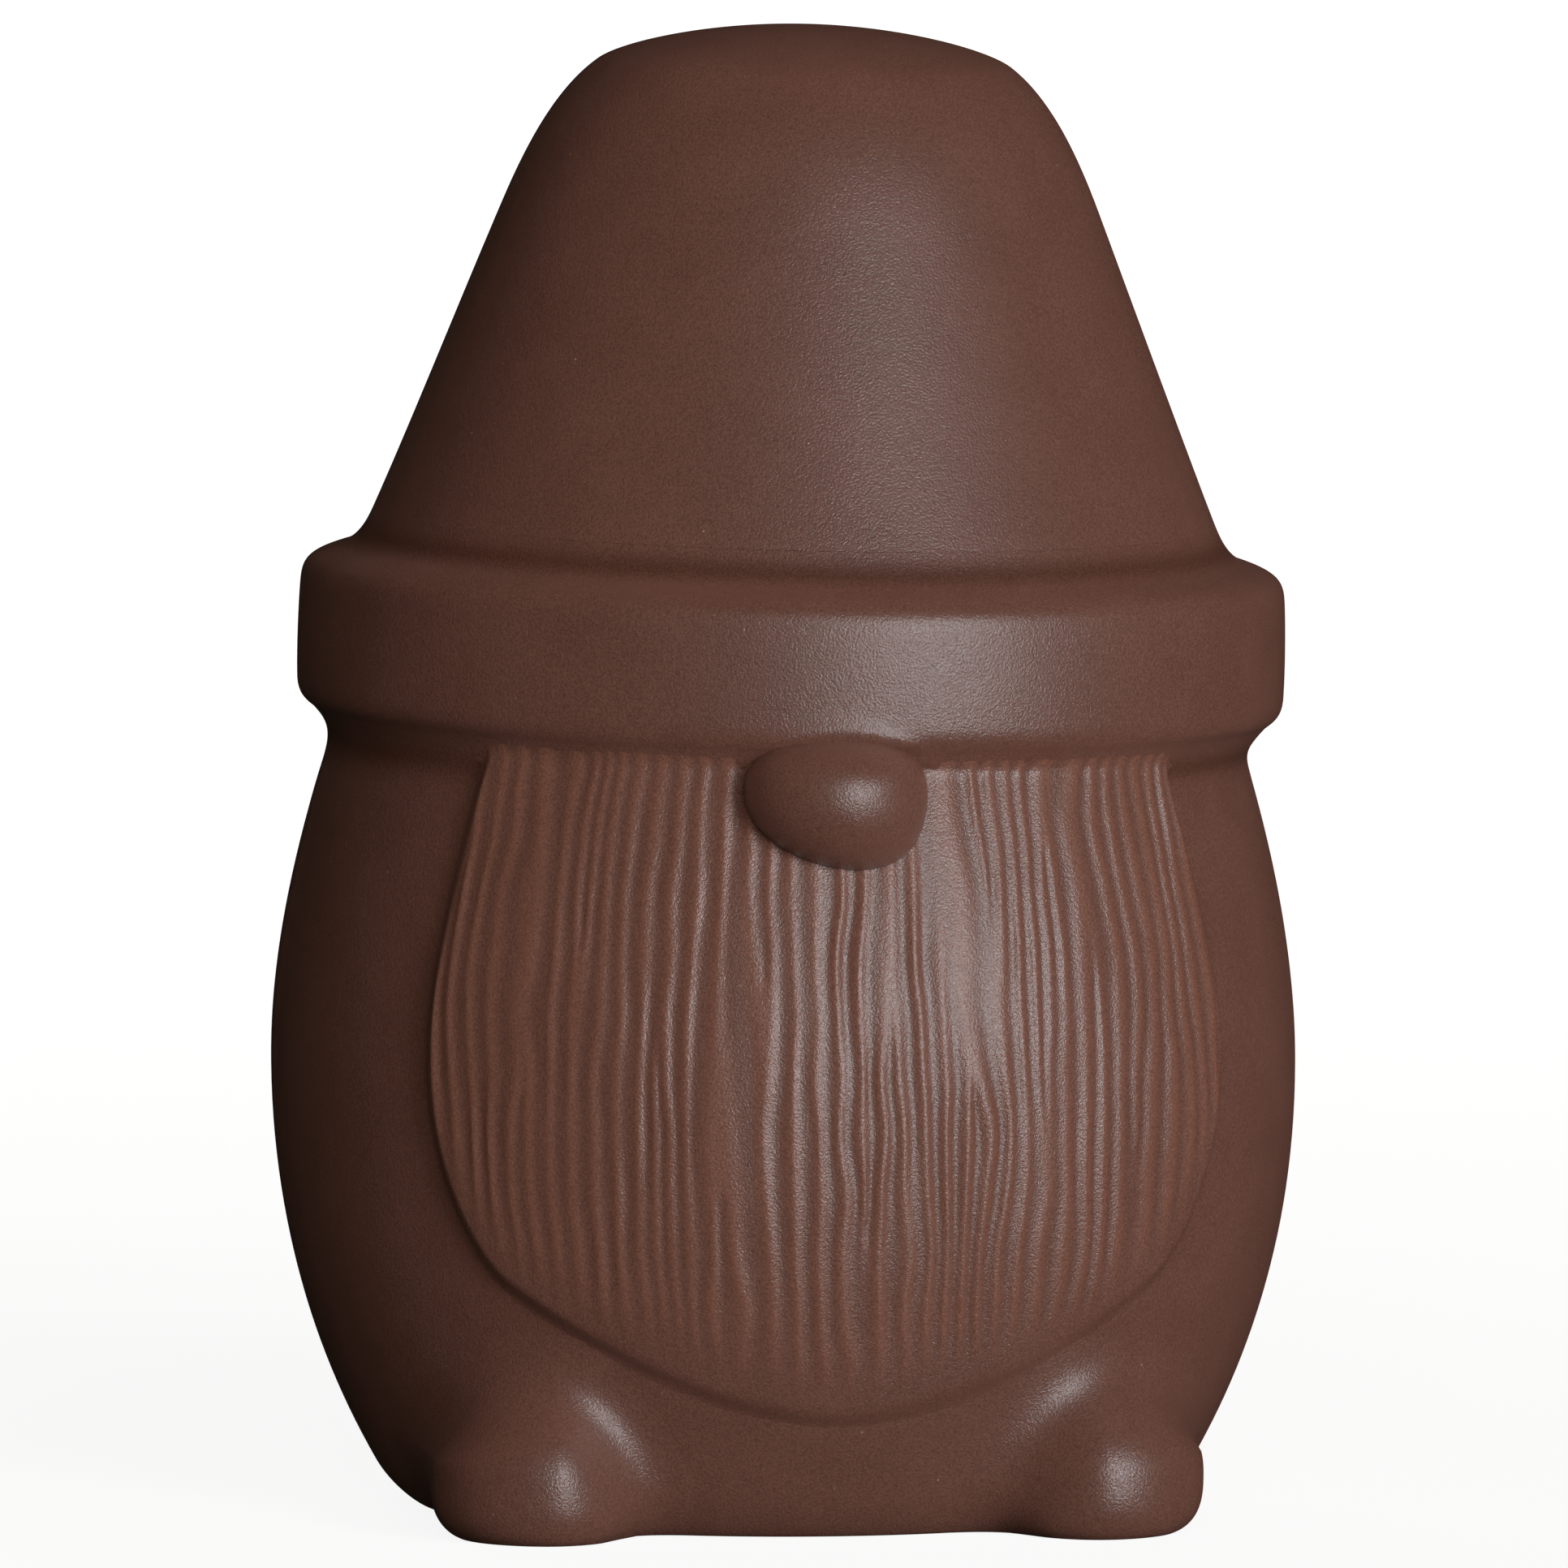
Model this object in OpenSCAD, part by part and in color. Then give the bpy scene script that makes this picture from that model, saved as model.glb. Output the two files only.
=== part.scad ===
// Gnome figurine in slip-cast stoneware with a satin glaze, hollow, with a vent hole in its base.
// Millimetres, +Z up. The figure faces -Y, and +X is on the right of a viewer who faces it.
// The origin is on the plane that the figure stands on, on the axis of the body.

/* [Body] */
// Widest radius of the barrel-shaped body
body_r = 52; // [50.5:0.1:54]
// Height of the widest ring above the foot ring
belly_z = 45; // [43:0.5:48]
// Outer radius of the body where the hat's brim sits on it
neck_r = 46.2; // [45.5:0.1:47]
// Height of the seam between the body and the brim
neck_z = 77.5; // [76.8:0.1:78.2]
// Outer radius of the flat ring that the body stands on
ring_r = 36.5; // [34:0.5:37]
// Wall thickness of the cast clay
wall = 4; // [3:0.5:5]

/* [Hat] */
// Lean of the hat towards +X, in degrees
hat_lean = 1.4; // [0:0.1:2]
// Height of the point on the body's axis that the hat leans about
lean_z = 57; // [50:1:65]
// Outer radius of the brim
brim_r = 50; // [49.4:0.1:50.6]
// Height of the seam between the brim and the crown
brim_top_z = 98; // [97:0.1:99]
// Outer radius of the crown where it stands on the brim
crown_r = 43.6; // [43:0.1:44.2]
// Outer radius of the crown where its round shoulder starts
shoulder_r = 28.1; // [26:0.1:30]
// Height of the crown's shoulder
shoulder_z = 137.1; // [134:0.1:139]
// Height of the top of the hat
top_z = 150.3; // [148:0.1:153]

/* [Beard] */
// Height that the beard stands proud of the body
beard_t = 1.25; // [0.8:0.05:1.6]
// Half the beard's widest width
beard_half_w = 41.2; // [38:0.1:43]
// Half the beard's width under the brim
beard_half_top = 35.6; // [33:0.1:38]
// Height of the beard's tip
beard_tip_z = 12; // [11:0.5:15]
// Angle between two carved strands, in degrees
strand_step = 4; // [4:1:8]
// Width of a carved line between strands
groove_w = 0.8; // [0.5:0.1:1]
// Depth of a carved line between strands
groove_d = 0.4; // [0.2:0.05:0.5]

/* [Nose] */
// Half the nose's width
nose_r = 9.3; // [8.5:0.1:10]
// Height of the nose's widest ring
nose_z = 76.2; // [75.5:0.1:76.6]
// Distance from the body's axis to the nose's middle
nose_out = 47.5; // [46.5:0.1:48.5]
// Shift of the nose off the figure's middle, towards -X
nose_shift = 0.6; // [0:0.1:1.5]
// Height of the nose above its widest ring
nose_up = 5.6; // [5:0.1:6]
// Depth of the nose below its widest ring
nose_down = 7.9; // [7.4:0.1:8.4]

/* [Feet] */
// Half the width of a foot
foot_r = 11; // [10:0.1:12]
// Distance from the middle of the figure to a foot's centre line
foot_x = 28; // [27:0.1:29]
// Distance from the body's axis to the centre of a foot's round toe
toe_y = 38.7; // [37:0.1:40]
// Height of a foot
foot_h = 17; // [16:0.1:18]
// Height at which a foot is widest
foot_wide_z = 7; // [6:0.1:8]
// Radius of the flat part of a foot's sole, at the toe
sole_r = 6.5; // [6:0.1:8]
// Distance from the centre of a foot's round toe back to the centre of its round heel
foot_len = 19; // [17:0.5:22]
// Shift of both feet off the figure's middle, towards -X
feet_shift = 0.7; // [0:0.1:1.5]

/* [Base] */
// Radius of the opening in the body's floor, which the base plate closes
floor_r = 26; // [24:0.5:27]
// Thickness of the body's floor
floor_t = 4; // [3.5:0.5:4]
// Height of the base plate's underside above the foot ring
recess = 1.6; // [1.2:0.1:1.8]
// Radius of the vent hole in the base plate
vent_r = 6; // [4:0.5:8]
// Thickness of the base plate's flange, which lies on the floor inside the body
flange_t = 2.6; // [2:0.1:3.5]

/* [Hidden] */
$fn = 96;

curve_steps = 8;                                   // straight pieces in each curve of an outline
far = 200;                                         // larger than the whole figure
flange_r = floor_r + 3;                            // the flange laps the floor by this much
strand_reach = 40;                                 // angle from the middle to the last carved line
glaze_brown = "#5f4339";
bare_clay = "#8a6a55";

// One cubic curve from p0 to p3. Its last point is left to the curve that follows it.
function curve(p0, p1, p2, p3) =
    [for (i = [0 : curve_steps - 1]) let (t = i / curve_steps, s = 1 - t)
        s*s*s*p0 + 3*s*s*t*p1 + 3*s*t*t*p2 + t*t*t*p3];

// A point with its two coordinates moved
function moved(p, dx, dy) = [p.x + dx, p.y + dy];

// Key points of the body's outline, as radius and height
base_edge = [body_r - 10.5, 4.6];
belly = [body_r, belly_z];
neck = [neck_r, neck_z];
neck_over = 4;                                     // the body's blank runs past the tilted seam

// Outline of the body from its foot ring up to the neck
function body_side() = concat(
    curve([ring_r, 0], [ring_r + 0.8, 0.2], moved(base_edge, -1.9, -1.8), base_edge),
    curve(base_edge, moved(base_edge, 6.1, 12), moved(belly, 0, -17), belly),
    curve(belly, moved(belly, 0, 12), moved(neck, 3, -10), neck),
    [neck, moved(neck, -0.28 * neck_over, neck_over)]);

// The same outline one wall inside, from the floor up
edge_in = moved(base_edge, -wall, 3.6);
belly_in = moved(belly, -wall, 0);
neck_in = moved(neck, -wall, 0);
function body_inside() = concat(
    curve([ring_r - 4, floor_t], [ring_r - 1, floor_t], moved(edge_in, -1.4, -2.6), edge_in),
    curve(edge_in, moved(edge_in, 6.1, 10.4), moved(belly_in, 0, -16), belly_in),
    curve(belly_in, moved(belly_in, 0, 12), moved(neck_in, 3, -10), neck_in),
    [neck_in, moved(neck_in, -0.28 * neck_over, neck_over)]);

// Outline of the brim from the seam with the body, out and up to the seam with the crown
brim_low = [brim_r, neck_z + 7.4];
brim_high = [brim_r, brim_top_z - 6.4];
function brim_side() = concat(
    curve([neck_r, neck_z], [neck_r, neck_z + 1.7], [neck_r + 3, neck_z + 2.8], brim_low),
    curve(brim_high, moved(brim_high, 0, 3.6), [crown_r + 3.2, brim_top_z - 2.4], [crown_r, brim_top_z]),
    [[crown_r, brim_top_z]]);

// Its inner outline, from the seam with the crown down to the seam with the body
crown_in_r = crown_r - wall;
high_in = moved(brim_high, -wall, -2);
low_in = moved(brim_low, -wall, 2);
function brim_inside() = concat(
    curve([crown_in_r, brim_top_z], [crown_in_r + 3, brim_top_z - 3], moved(high_in, 0, 4), high_in),
    curve(low_in, moved(low_in, 0, -5), [neck_r - wall, neck_z + 4], [neck_r - wall, neck_z]),
    [[neck_r - wall, neck_z]]);

// Outline of the crown from its foot over the top to the axis, and the same one wall inside
function crown_side() = concat(
    curve([crown_r, brim_top_z], [crown_r - 1.2, brim_top_z + 1.6], [crown_r - 3.6, brim_top_z + 8],
        [shoulder_r + 5.8, shoulder_z - 15.4]),
    curve([shoulder_r, shoulder_z], [shoulder_r - 2.4, top_z - 4.1], [shoulder_r - 12, top_z], [0, top_z]),
    [[0, top_z]]);
shoulder_in = [shoulder_r - wall, shoulder_z];
top_in_z = top_z - wall;
function crown_inside() = concat(
    curve([0, top_in_z], [shoulder_in.x - 12, top_in_z], [shoulder_in.x - 2, top_in_z - 4.1], shoulder_in),
    [shoulder_in, [crown_in_r - 1.6, brim_top_z + 4], [crown_in_r, brim_top_z]]);

// Front view of the right half of the beard, from its tip round to the brim
beard_cheek = [beard_half_w, 52];
beard_jaw = [beard_half_w - 12.3, 22];
beard_top = [beard_half_top, neck_z];
function beard_side() = concat(
    curve([0, beard_tip_z], [9, beard_tip_z], moved(beard_jaw, -7.9, -4.5), beard_jaw),
    curve(beard_jaw, moved(beard_jaw, 6.6, 4), moved(beard_cheek, 0, -14), beard_cheek),
    curve(beard_cheek, moved(beard_cheek, 0, 8), moved(beard_top, 1.7, -7), beard_top),
    [beard_top, moved(beard_top, -1, 4)]);

// A list of points from its last to its first, and the same on the other side of the axis
function reversed(points) = [for (i = [len(points) - 1 : -1 : 0]) points[i]];
function mirrored(points) = [for (p = reversed(points)) [-p.x, p.y]];

// Leans the hat about a point on the body's axis
module leaning() {
    translate([0, 0, lean_z]) rotate([0, hat_lean, 0]) translate([0, 0, -lean_z]) children();
}

// All space above the seam between the body and the brim
module above_neck() {
    leaning() translate([-far / 2, -far / 2, neck_z]) cube([far, far, far / 2]);
}

// The body as a solid blank, up past the seam, grown outwards by g
module body_blank(g = 0) {
    side = [for (p = body_side()) [p.x + g, p.y]];
    rotate_extrude() polygon(concat([[0, 0]], side, [[0, side[len(side) - 1].y]]));
}

// The brim as a solid disc
module brim_blank() {
    leaning() rotate_extrude() polygon(concat([[0, neck_z]], brim_side(), [[0, brim_top_z]]));
}

// The beard before it is cut to fit under the brim
module beard_blank() {
    intersection() {
        body_blank(beard_t);
        rotate([90, 0, 0]) linear_extrude(far / 2) polygon(concat(beard_side(), mirrored(beard_side())));
    }
}

// The whole egg of the nose: an arc of a quarter turn above its widest ring, and one below
module nose_blank() {
    turns = [for (i = [-curve_steps : curve_steps]) 90 * i / curve_steps];
    side = [for (a = turns) [nose_r * cos(a), (a < 0 ? nose_down : nose_up) * sin(a)]];
    translate([-nose_shift, -nose_out, nose_z]) rotate_extrude() polygon(side);
}

// The part of the egg that stands out of the body
module nose_form() {
    difference() {
        nose_blank();
        body_blank();
    }
}

// Half the cross-section of a foot: flat sole, round edge and domed top
function foot_side() = concat(
    [[0, 0]],
    curve([sole_r, 0], [sole_r + 2.6, 0], [foot_r, foot_wide_z - 4], [foot_r, foot_wide_z]),
    curve([foot_r, foot_wide_z], [foot_r, foot_wide_z + 6], [foot_r - 5, foot_h], [0, foot_h]),
    [[0, foot_h]]);

// A foot before it is cut to fit the body: a round toe, a straight instep and a round heel
module foot_blank(side) {
    translate([side * foot_x - feet_shift, -toe_y, 0]) {
        rotate_extrude() polygon(foot_side());
        translate([0, foot_len, 0]) rotate_extrude() polygon(foot_side());
        rotate([-90, 0, 0]) mirror([0, 1, 0]) linear_extrude(foot_len)
            polygon(concat(foot_side(), mirrored(foot_side())));
    }
}

// One carved line down the beard, as a thin upright slab that follows its face at the groove's depth.
// The lines at the sides start higher, because the beard's lower edge rises there.
module groove(a) {
    low = beard_tip_z + 6 + 26 * pow(abs(a) / strand_reach, 3);
    side = [for (p = body_side()) if (p.y > low && p.y < neck_z - 3) [p.x + beard_t - groove_d, p.y]];
    last = len(side) - 1;
    bottom = (side[0] + side[1]) / 2;
    top = (side[last - 1] + side[last]) / 2;
    line = concat([bottom], [for (i = [1 : last - 1]) side[i]], [top, [far / 2, top.y], [far / 2, bottom.y]]);
    rotate([0, 0, a - 90]) rotate([90, 0, 0]) translate([0, 0, -groove_w / 2]) linear_extrude(groove_w)
        polygon(line);
}

// Tall hollow crown of the hat
module hat_crown() {
    color(glaze_brown) leaning() rotate_extrude() polygon(concat(crown_side(), crown_inside()));
}

// Rolled band round the foot of the hat, notched where the nose is pushed up under it
module hat_brim() {
    color(glaze_brown) difference() {
        leaning() rotate_extrude() polygon(concat(brim_side(), brim_inside()));
        nose_form();
    }
}

// Barrel-shaped body with a floor, open in the middle for the base plate
module body_shell() {
    color(glaze_brown) difference() {
        rotate_extrude() polygon(concat(
            [[floor_r, 0]], body_side(), reversed(body_inside()), [[floor_r, floor_t]]));
        above_neck();
    }
}

// Raised beard that wraps round the front, with carved strands
module beard() {
    color(glaze_brown) difference() {
        beard_blank();
        body_blank();
        brim_blank();
        nose_form();
        for (a = [-strand_reach : strand_step : strand_reach]) groove(a);
    }
}

// Egg-shaped nose, set on the beard and up under the brim
module nose() {
    color(glaze_brown) nose_form();
}

// Round foot that shows in front of the body
module foot(side) {
    color(glaze_brown) difference() {
        foot_blank(side);
        body_blank();
    }
}

// Flanged disc of bare clay that closes the floor, with a vent hole through its middle
module base_plate() {
    color(bare_clay) difference() {
        union() {
            translate([0, 0, recess]) cylinder(h = floor_t - recess, r = floor_r);
            translate([0, 0, floor_t]) cylinder(h = flange_t, r = flange_r);
        }
        translate([0, 0, -1]) cylinder(h = far / 4, r = vent_r);
    }
}

hat_crown();
hat_brim();
body_shell();
beard();
nose();
foot(-1);  // left_foot
foot(1);  // right_foot
base_plate();
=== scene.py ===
"""Looks of a slip-cast gnome figurine: satin-glazed stoneware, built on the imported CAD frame.

Lengths in the classes are millimetres and angles are degrees, until a mesh is written in metres.
The figure faces -Y and +X is on the right of a viewer who faces it. Angles round the body
are counted from the front, and grow towards the viewer's right.
"""

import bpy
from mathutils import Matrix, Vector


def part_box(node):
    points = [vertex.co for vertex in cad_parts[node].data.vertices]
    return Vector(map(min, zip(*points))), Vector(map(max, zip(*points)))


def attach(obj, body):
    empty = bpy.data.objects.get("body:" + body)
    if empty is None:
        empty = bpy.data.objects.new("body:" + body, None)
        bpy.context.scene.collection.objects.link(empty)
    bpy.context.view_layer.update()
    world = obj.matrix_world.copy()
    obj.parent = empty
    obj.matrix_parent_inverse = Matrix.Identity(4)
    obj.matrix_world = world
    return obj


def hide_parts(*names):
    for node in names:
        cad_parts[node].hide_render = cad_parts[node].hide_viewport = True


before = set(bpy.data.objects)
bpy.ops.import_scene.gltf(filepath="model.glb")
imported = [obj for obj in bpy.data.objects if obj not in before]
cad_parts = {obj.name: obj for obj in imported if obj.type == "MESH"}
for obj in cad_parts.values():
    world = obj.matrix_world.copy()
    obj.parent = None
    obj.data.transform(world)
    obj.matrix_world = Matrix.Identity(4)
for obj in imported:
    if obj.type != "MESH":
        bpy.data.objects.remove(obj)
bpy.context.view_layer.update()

import logging
import math
from dataclasses import dataclass
from enum import Enum

import bpy
import numpy as np
from mathutils import Vector

LOG = logging.getLogger("gnome")
MM = 0.001
BODY = "root"
Point = tuple[float, float]
Array = np.ndarray
Piece = bpy.types.Object
Material = bpy.types.Material
Socket = bpy.types.NodeSocket


# -------- small helpers


def deselect_all() -> None:
    """Leaves object mode and deselects every object."""
    if bpy.context.object and bpy.context.object.mode != "OBJECT":
        bpy.ops.object.mode_set(mode="OBJECT")
    bpy.ops.object.select_all(action="DESELECT")


def select_only(piece: Piece) -> None:
    """Selects this object alone and makes it the active one."""
    deselect_all()
    bpy.context.view_layer.objects.active = piece
    piece.select_set(True)


def curve(p0: Point, p1: Point, p2: Point, p3: Point, count: int) -> list[Point]:
    """One cubic curve, without its last point.

    Args:
        p0: Start.
        p1: Handle of the start.
        p2: Handle of the end.
        p3: End, which is left to whatever follows.
        count: Number of points.

    Returns:
        The points, evenly spaced in the curve's own parameter.
    """
    t = np.linspace(0.0, 1.0, count, endpoint=False)[:, None]
    s = 1.0 - t
    a, b, c, d = (np.array(p, float) for p in (p0, p1, p2, p3))
    return [tuple(p) for p in s**3 * a + 3 * s * s * t * b + 3 * s * t * t * c + t**3 * d]


def near(p: Point, dx: float, dy: float) -> Point:
    """A point moved by dx and dy."""
    return (p[0] + dx, p[1] + dy)


def smooth_step(low: float, high: float, x: Array) -> Array:
    """Goes from 0 at low to 1 at high with flat ends."""
    t = np.clip((x - low) / (high - low), 0.0, 1.0)
    return t * t * (3.0 - 2.0 * t)


def soft_max(a: Array, b: Array, reach: float) -> Array:
    """The larger of two heights, with a fillet of about that reach where they cross."""
    h = np.maximum(reach - np.abs(a - b), 0.0) / reach
    return np.maximum(a, b) + h * h * reach / 4.0


def soft_min(a: Array, b: Array, reach: float) -> Array:
    """The smaller of two distances, with a fillet of about that reach where they cross."""
    return -soft_max(-a, -b, reach)


@dataclass(frozen=True)
class Ripple:
    """A smooth random field in two directions, the same in every run.

    Attributes:
        seed: Which field.
        size: Cells of its lattice in each direction.
    """

    seed: int
    size: int = 64

    def at(self, x: Array, y: Array) -> Array:
        """The field at lattice coordinates.

        Args:
            x: First coordinate, in cells.
            y: Second coordinate, in cells.

        Returns:
            Values from about -1 to 1.
        """
        grid = np.random.default_rng(self.seed).uniform(-1.0, 1.0, (self.size, self.size))
        x, y = np.broadcast_arrays(np.asarray(x, float), np.asarray(y, float))
        x0, y0 = np.floor(x).astype(int), np.floor(y).astype(int)
        fx, fy = x - x0, y - y0
        fx, fy = fx * fx * (3 - 2 * fx), fy * fy * (3 - 2 * fy)
        n = self.size
        g00, g10 = grid[x0 % n, y0 % n], grid[(x0 + 1) % n, y0 % n]
        g01, g11 = grid[x0 % n, (y0 + 1) % n], grid[(x0 + 1) % n, (y0 + 1) % n]
        return (g00 * (1 - fx) + g10 * fx) * (1 - fy) + (g01 * (1 - fx) + g11 * fx) * fy


def coordinates(piece: Piece) -> Array:
    """The piece's vertices in millimetres, one row each."""
    flat = np.empty(len(piece.data.vertices) * 3)
    piece.data.vertices.foreach_get("co", flat)
    return flat.reshape(-1, 3) / MM


def round_axis(radius: Array, phi: Array, z: Array) -> Array:
    """Places at these radii, angles and heights, one row each."""
    a = np.radians(phi)
    return np.c_[(radius * np.sin(a)).ravel(), (-radius * np.cos(a)).ravel(), z.ravel()]


def place_vertices(piece: Piece, points: Array) -> None:
    """Moves the piece's vertices to these places, in millimetres."""
    piece.data.vertices.foreach_set("co", (points * MM).ravel())
    piece.data.update()


def mark(piece: Piece, name: str, values: Array) -> None:
    """Gives each vertex a number that the glaze reads."""
    attribute = piece.data.attributes.new(name, "FLOAT", "POINT")
    attribute.data.foreach_set("value", values.ravel().astype(np.float32))


def apply_modifier(piece: Piece, kind: str, **settings: object) -> None:
    """Adds a modifier with these settings and applies it."""
    select_only(piece)
    modifier = piece.modifiers.new(kind.title(), kind)
    for name, value in settings.items():
        setattr(modifier, name, value)
    bpy.ops.object.modifier_apply(modifier=modifier.name)


def lathe(name: str, outline: list[Point], steps: int) -> Piece:
    """Draws an outline vertex by vertex and spins it a full turn about the Z axis.

    Args:
        name: Name of the piece.
        outline: Radius and height of each point. It ends where it starts, or has both ends on the axis.
        steps: Number of steps in the turn.

    Returns:
        The piece, closed, with its faces outwards.
    """
    deselect_all()
    bpy.ops.mesh.primitive_plane_add(size=MM)
    piece = bpy.context.object
    piece.name = name
    bpy.ops.object.mode_set(mode="EDIT")
    bpy.ops.mesh.select_all(action="SELECT")
    bpy.ops.mesh.merge(type="CENTER")
    bpy.ops.transform.translate(value=(outline[0][0] * MM, 0, outline[0][1] * MM))
    for a, b in zip(outline, outline[1:]):
        step = ((b[0] - a[0]) * MM, 0, (b[1] - a[1]) * MM)
        bpy.ops.mesh.extrude_region_move(TRANSFORM_OT_translate={"value": step})
    bpy.ops.mesh.select_all(action="SELECT")
    bpy.ops.mesh.spin(steps=steps, angle=math.tau, center=(0, 0, 0), axis=(0, 0, 1))
    bpy.ops.mesh.select_all(action="SELECT")
    bpy.ops.mesh.remove_doubles(threshold=0.004 * MM)
    bpy.ops.mesh.normals_make_consistent(inside=False)
    bpy.ops.object.mode_set(mode="OBJECT")
    return piece


def sheet_of_clay(name: str, columns: int, rows: int) -> Piece:
    """Adds a grid of faces, whose vertices run along its columns first.

    Args:
        name: Name of the piece.
        columns: Vertices across.
        rows: Vertices down.

    Returns:
        The grid, with its vertex of column i and row j at index j * columns + i.
    """
    deselect_all()
    bpy.ops.mesh.primitive_grid_add(x_subdivisions=columns - 1, y_subdivisions=rows - 1, size=MM)
    piece = bpy.context.object
    piece.name = name
    return piece


def surface(piece: Piece, material: Material, angle: float) -> None:
    """Gives the piece its material, and shades it smooth but for edges sharper than this angle."""
    select_only(piece)
    bpy.ops.object.shade_smooth_by_angle(angle=math.radians(angle))
    piece.data.materials.append(material)


# -------- the form of the figure


@dataclass(frozen=True)
class Form:
    """The outer form that every piece of clay shares.

    The widest radius and the heights come from the CAD frame. The outlines are the same curves as
    the CAD's, with the soft glaze-filled creases that it leaves out.

    Attributes:
        belly_r: Widest radius of the body.
        top_z: Height of the top of the hat before it leans.
        belly_z: Height of the widest ring.
        neck: Radius and height of the seam between body and brim.
        ring_r: Radius of the flat ring that the body stands on.
        brim_r: Radius of the brim.
        crown_foot: Radius and height of the seam between brim and crown.
        shoulder: Radius and height where the crown's shoulder starts.
        wall: Thickness of the clay.
        lean: Lean of the hat towards +X, in degrees.
        lean_z: Height that the hat leans about.
        brim_under: Points in the brim's crease.
        brim_low: Points from there to its widest ring.
    """

    belly_r: float
    top_z: float
    belly_z: float = 45.0
    neck: Point = (46.2, 77.5)
    ring_r: float = 36.5
    brim_r: float = 50.0
    crown_foot: Point = (43.6, 98.0)
    shoulder: Point = (30.1, 132.2)
    wall: float = 4.0
    lean: float = 1.4
    lean_z: float = 57.0
    brim_under: int = 16
    brim_low: int = 10

    @classmethod
    def from_frame(cls) -> "Form":
        """Reads the driving sizes off the CAD nodes."""
        body_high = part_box("body_shell")[1]
        hat_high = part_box("hat_crown")[1]
        return cls(belly_r=body_high.x / MM, top_z=hat_high.z / MM + 0.03)

    def body_side(self) -> list[Point]:
        """The body's outline from its foot ring up to just above the neck."""
        edge = (self.belly_r - 10.5, 4.6)
        belly = (self.belly_r, self.belly_z)
        over = near(self.neck, -0.9, 3.2)
        return (
            curve((self.ring_r, 0), (self.ring_r + 1.0, 0.1), near(edge, -1.35, -2.4), edge, 12)
            + curve(edge, near(edge, 6.2, 11.0), near(belly, 0, -17), belly, 26)
            + curve(belly, near(belly, 0, 12), near(self.neck, 3, -10), self.neck, 26)
            + [self.neck, over]
        )

    def body_radius(self, z: Array) -> Array:
        """Outer radius of the body at a height."""
        side = np.array(self.body_side())
        return np.interp(z, side[:, 1], side[:, 0])

    def brim_skirt(self) -> Point:
        """Where the brim's glaze runs out onto the body, below the crease."""
        z = self.neck[1] - 2.4
        return (float(self.body_radius(np.array(z))), z)

    def brim_top(self) -> Point:
        """Where the brim's glaze runs out onto the crown, above the crease."""
        return near(self.crown_foot, -0.95, 2.3)

    def brim_side(self) -> list[Point]:
        """The brim's outline from the body below its crease, out and up to the crown above its crease."""
        skirt = self.brim_skirt()
        under = (48.35, self.neck[1] + 2.8)
        low = (self.brim_r - 0.05, self.neck[1] + 5.9)
        high = (self.brim_r - 0.15, self.crown_foot[1] - 5.4)
        ledge = near(self.crown_foot, 2.6, -1.6)
        rise = self.brim_top()
        return (
            curve(skirt, near(skirt, -0.62, 2.2), near(under, -1.9, -2.0), under, self.brim_under)
            + curve(under, near(under, 0.75, 0.6), near(low, 0, -2.1), low, self.brim_low)
            + curve(low, near(low, 0.1, 2.5), near(high, 0.15, -2.5), high, 8)
            + curve(high, near(high, -0.12, 2.2), near(ledge, 3.1, -0.95), ledge, 16)
            + curve(ledge, near(ledge, -1.7, 0.5), near(rise, 0.9, -2.15), rise, 14)
            + [rise]
        )

    def brim_radius(self, z: Array) -> Array:
        """Outer radius of the brim's lower half at a height, and of its widest ring above that."""
        side = np.array(self.brim_side())
        lower = side[: self.brim_under + self.brim_low + 1]
        return np.interp(z, lower[:, 1], lower[:, 0])

    def crown_side(self) -> list[Point]:
        """The crown's outline from the top of the brim's crease over the top to the axis."""
        rise = self.brim_top()
        round_off = (21.0, self.top_z - 3.9)
        top = (0.0, self.top_z)
        return (
            curve(rise, near(rise, -3.6, 8.6), near(self.shoulder, 4.0, -10.0), self.shoulder, 34)
            + curve(self.shoulder, near(self.shoulder, -2.2, 5.5), near(round_off, 4.05, -3.0), round_off, 20)
            + curve(round_off, near(round_off, -2.16, 1.6), near(top, 10.0, 0), top, 20)
            + [top]
        )

    def painted_crease_shade(self, points: Array) -> Array:
        """How much painted shade darkens places before they settle: 1 in the middle of a crease."""
        radius = np.hypot(points[:, 0], points[:, 1])
        share = np.zeros(len(points))
        # painted shade: the glaze colour is darkened round the crown's crease and the neck's crease, where shade
        # falls
        for crease in (near(self.crown_foot, 0.3, 0.2), self.neck):
            away = np.hypot(radius - crease[0], points[:, 2] - crease[1])
            share = np.maximum(share, np.exp(-((away / 1.5) ** 2)))
        return share

    def settle(self, points: Array) -> Array:
        """Leans the hat, eased in over the neck, and gives the cast its slight unevenness.

        Args:
            points: Places in millimetres, one row each.

        Returns:
            The places on the fired figure.
        """
        x, y, z = points.T
        a = math.radians(self.lean)
        share = smooth_step(self.neck[1] - 5.0, self.neck[1] + 2.0, z)
        up = z - self.lean_z
        leaned = np.c_[x * math.cos(a) + up * math.sin(a), y, self.lean_z + up * math.cos(a) - x * math.sin(a)]
        out = points + share[:, None] * (leaned - points)
        sway = Ripple(5).at(np.arctan2(y, x) * 1.6 + 9.0, z / 26.0)
        radius = np.maximum(np.hypot(x, y), 1.0)
        push = 0.16 * sway * np.clip(z / 12.0, 0.0, 1.0) * np.clip(radius / 20.0, 0.0, 1.0)
        out[:, 0] += push * x / radius
        out[:, 1] += push * y / radius
        return out


# -------- finishes


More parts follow.
